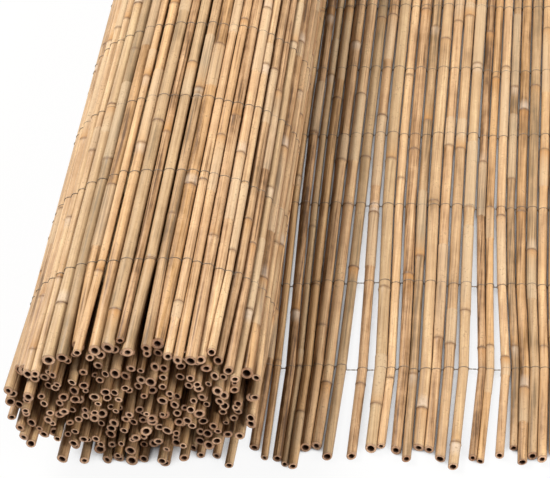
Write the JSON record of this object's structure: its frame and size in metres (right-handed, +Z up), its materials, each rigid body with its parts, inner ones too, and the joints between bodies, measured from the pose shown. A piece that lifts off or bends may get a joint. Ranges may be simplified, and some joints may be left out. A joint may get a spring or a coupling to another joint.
{
  "type": "reed fence",
  "caption": "Garden fence of dry reeds woven side by side on rows of thin wire, lying partly rolled up with one end laid out flat.",
  "frame": {"origin": "on the floor, in the middle of the box around the whole fence", "axes": "+X along the fence towards its loose end, +Y along the reeds away from the near ends, +Z up"},
  "size_m": [0.5622, 1.0753, 0.1753],
  "materials": {
    "reed": "matt",
    "wire": "dull"
  },
  "bodies": {
    "root": {"mat_roll": "reed", "mat_tail": "reed", "lower_wire_1": "wire", "lower_wire_2": "wire", "lower_wire_3": "wire", "lower_wire_4": "wire", "lower_wire_5": "wire", "lower_wire_6": "wire", "lower_wire_7": "wire", "lower_wire_8": "wire", "lower_wire_9": "wire", "upper_wire_1": "wire", "upper_wire_2": "wire", "upper_wire_3": "wire", "upper_wire_4": "wire", "upper_wire_5": "wire", "upper_wire_6": "wire", "upper_wire_7": "wire", "upper_wire_8": "wire", "upper_wire_9": "wire", "roll_wire_1": "wire", "roll_wire_2": "wire", "roll_wire_3": "wire", "roll_wire_4": "wire", "roll_wire_5": "wire", "roll_wire_6": "wire", "roll_wire_7": "wire", "roll_wire_8": "wire", "roll_wire_9": "wire"}
  },
  "joints": []
}
